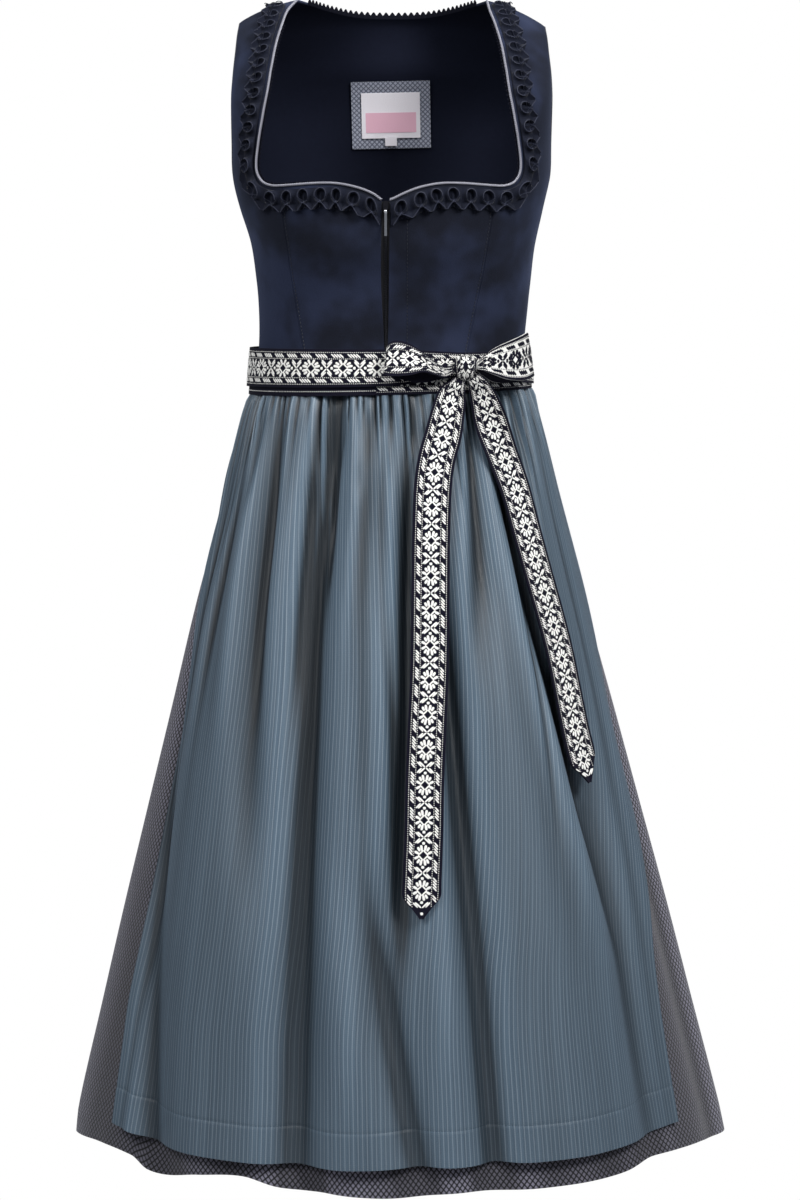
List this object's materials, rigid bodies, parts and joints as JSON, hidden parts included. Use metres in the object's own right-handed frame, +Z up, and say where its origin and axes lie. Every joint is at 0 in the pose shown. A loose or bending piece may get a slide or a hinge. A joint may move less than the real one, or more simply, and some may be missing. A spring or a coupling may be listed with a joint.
{
  "type": "dirndl",
  "caption": "Sleeveless folk dress with a fitted zipped bodice, square-sweetheart neckline, gathered midi skirt, apron and a patterned sash tied in a bow.",
  "frame": {"origin": "midway between the two shoulder seams, at shoulder height, where the wearer's shoulders carry the dress", "axes": "+X to the viewer's right, -Y towards the viewer (the front), +Z up"},
  "size_m": [0.6047, 0.4563, 1.0482],
  "materials": {
    "suede": "brushed synthetic suede",
    "lining": "smooth lining",
    "trim": "folded ribbon trim",
    "silver_cord": "twisted cord",
    "dark_cord": "fine piping",
    "zip_tape": "woven tape",
    "zip_metal_dark": "dark enamel",
    "zip_metal": "polished",
    "patch": "woven",
    "label_cloth": "smooth woven label",
    "skirt_cloth": "small woven diamonds",
    "apron_cloth": "satin weave with fine stripes",
    "ribbon": "woven jacquard ribbon"
  },
  "bodies": {
    "dirndl": {"front_centre_left": "suede", "front_centre_right": "suede", "front_side_left": "suede", "front_side_right": "suede", "back_centre": "suede", "back_side_left": "suede", "back_side_right": "suede", "back_lining": "lining", "ruche_left": "trim", "ruche_right": "trim", "neck_piping_left": "silver_cord", "neck_piping_right": "silver_cord", "armhole_piping_left": "dark_cord", "armhole_piping_right": "dark_cord", "back_neck_picot": "trim", "zip_tape_left": "zip_tape", "zip_tape_right": "zip_tape", "zip_slider": "zip_metal_dark", "zip_bail": "zip_metal_dark", "label_patch": "patch", "label": "label_cloth", "size_tab": "label_cloth", "skirt_front": "skirt_cloth", "skirt_back": "skirt_cloth", "apron": "apron_cloth", "apron_waistband": "ribbon", "sash_wrap": "ribbon", "bow_loop_left": "ribbon", "bow_loop_right": "ribbon", "bow_knot": "ribbon", "tail_left": "ribbon", "tail_right": "ribbon"},
    "zip_pull": {"zip_pull": "zip_metal"}
  },
  "joints": [
    {"name": "zip_pull_swing", "type": "hinge", "parent": "dirndl", "child": "zip_pull", "pos_m": [-0.0033, -0.12661, -0.186], "axis": [-1, 0, 0], "range_deg": [0, 150]}
  ]
}
